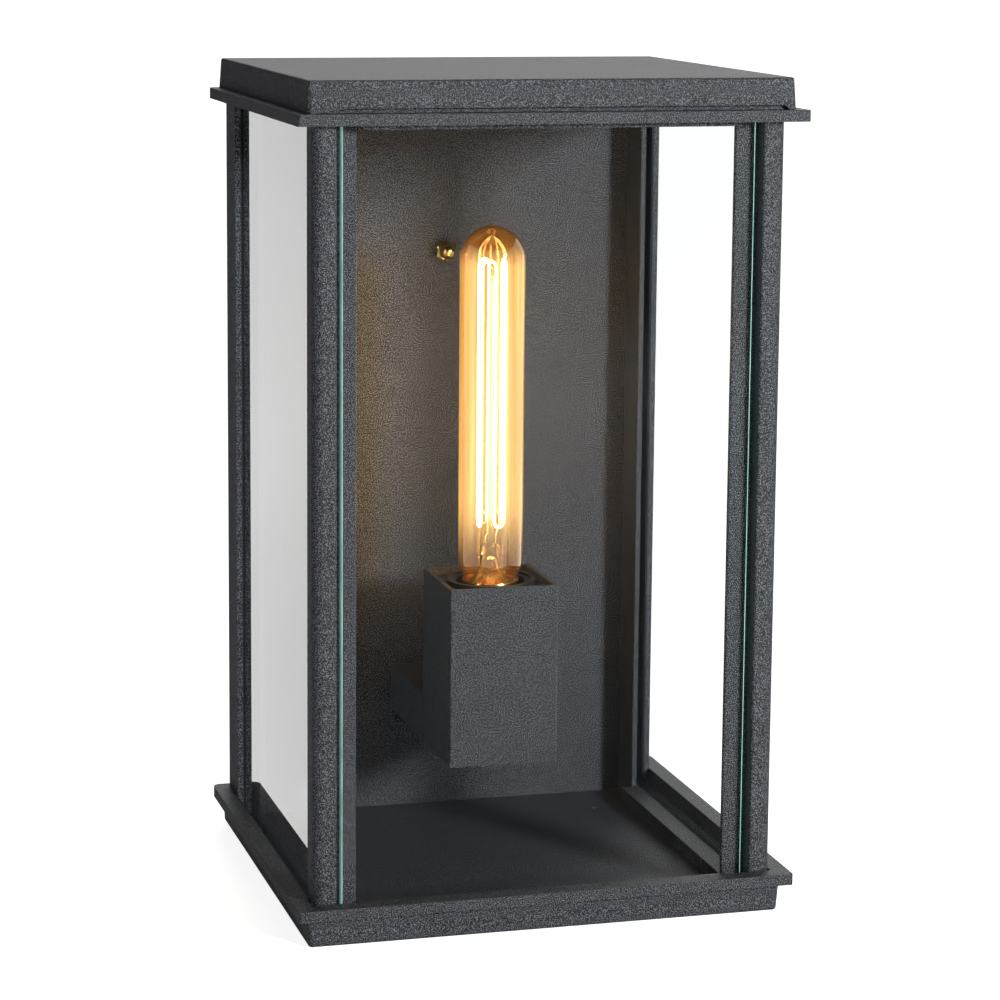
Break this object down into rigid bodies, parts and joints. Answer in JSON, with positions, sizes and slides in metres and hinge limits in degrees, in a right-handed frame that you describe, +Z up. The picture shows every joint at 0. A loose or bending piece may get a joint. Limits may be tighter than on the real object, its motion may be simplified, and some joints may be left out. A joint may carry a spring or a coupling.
{
  "type": "outdoor wall lantern",
  "caption": "Box-shaped wall lantern: black metal tray and roof on corner posts, clear panes on three sides, and a tubular lamp standing on a square bracket.",
  "frame": {"origin": "middle of the wall bracket's two screw holes, on the wall plane", "axes": "+Z up, +Y into the wall, the front pane faces -Y, +X to the right of someone facing the lantern"},
  "size_m": [0.221, 0.201, 0.3652],
  "materials": {
    "powder_black": "fine-textured powder coat, satin",
    "black_screw": "blackened steel",
    "zinc_steel": "zinc plated",
    "nickel_steel": "nickel plated",
    "brass": "bright",
    "clear_glass": "clear float glass, greenish edge",
    "amber_glass": "amber tinted",
    "stem_glass": "clear",
    "filament": "glowing thread",
    "lamp_enamel": "black glass",
    "black_plastic": "moulded",
    "white_plastic": "moulded",
    "seal_rubber": "black extruded seal",
    "brown_lead": "insulation",
    "blue_lead": "insulation",
    "green_lead": "insulation"
  },
  "bodies": {
    "case": {"base_tray": "powder_black", "roof_tray": "powder_black", "roof_cap": "powder_black", "front_post_left": "powder_black", "front_post_right": "powder_black", "back_post_left": "powder_black", "back_post_right": "powder_black", "lower_rail_left": "powder_black", "lower_rail_right": "powder_black", "upper_rail_left": "powder_black", "upper_rail_right": "powder_black", "back_plate": "powder_black", "front_sill": "powder_black", "front_head": "powder_black", "lampholder_box": "powder_black", "lampholder_arm": "powder_black", "roof_cap_nuts": "zinc_steel", "base_post_screws": "zinc_steel", "roof_post_screws": "zinc_steel", "back_plate_screws": "zinc_steel", "arm_screws": "black_screw", "wall_bracket": "zinc_steel", "bracket_studs": "zinc_steel", "stud_spacers": "zinc_steel", "nut_washers": "brass", "acorn_nuts": "brass", "earth_screw": "brass", "earth_eyelet": "zinc_steel", "left_glass": "clear_glass", "right_glass": "clear_glass", "left_glass_seals": "seal_rubber", "right_glass_seals": "seal_rubber", "cable_grommet": "seal_rubber", "holder_plate": "black_plastic", "lampholder_shell": "black_plastic", "lampholder_ring": "black_plastic", "lampholder_nut": "black_plastic", "threaded_sleeve": "nickel_steel", "contact_spring": "nickel_steel", "holder_terminals": "brass", "terminal_block": "white_plastic", "live_lead": "brown_lead", "neutral_lead": "blue_lead", "earth_lead": "green_lead"},
    "front_pane": {"front_glass": "clear_glass"},
    "lamp": {"lamp_cap": "brass", "lamp_glass": "amber_glass", "lamp_insulator": "lamp_enamel", "lamp_tip": "nickel_steel", "lamp_stem": "stem_glass", "lamp_filament": "filament"},
    "contact": {"centre_contact": "brass"}
  },
  "joints": [
    {"name": "front_pane_lift", "type": "slide", "parent": "case", "child": "front_pane", "axis": [0, 0, 1], "range_m": [0, 0.009]},
    {"name": "lamp_unscrew", "type": "slide", "parent": "case", "child": "lamp", "axis": [0, 0, 1], "range_m": [0, 0.028]},
    {"name": "contact_press", "type": "slide", "parent": "case", "child": "contact", "axis": [0, 0, -1], "range_m": [0, 0.0012], "stiffness_N_per_m": 2000, "deforming": ["contact_spring"]}
  ]
}
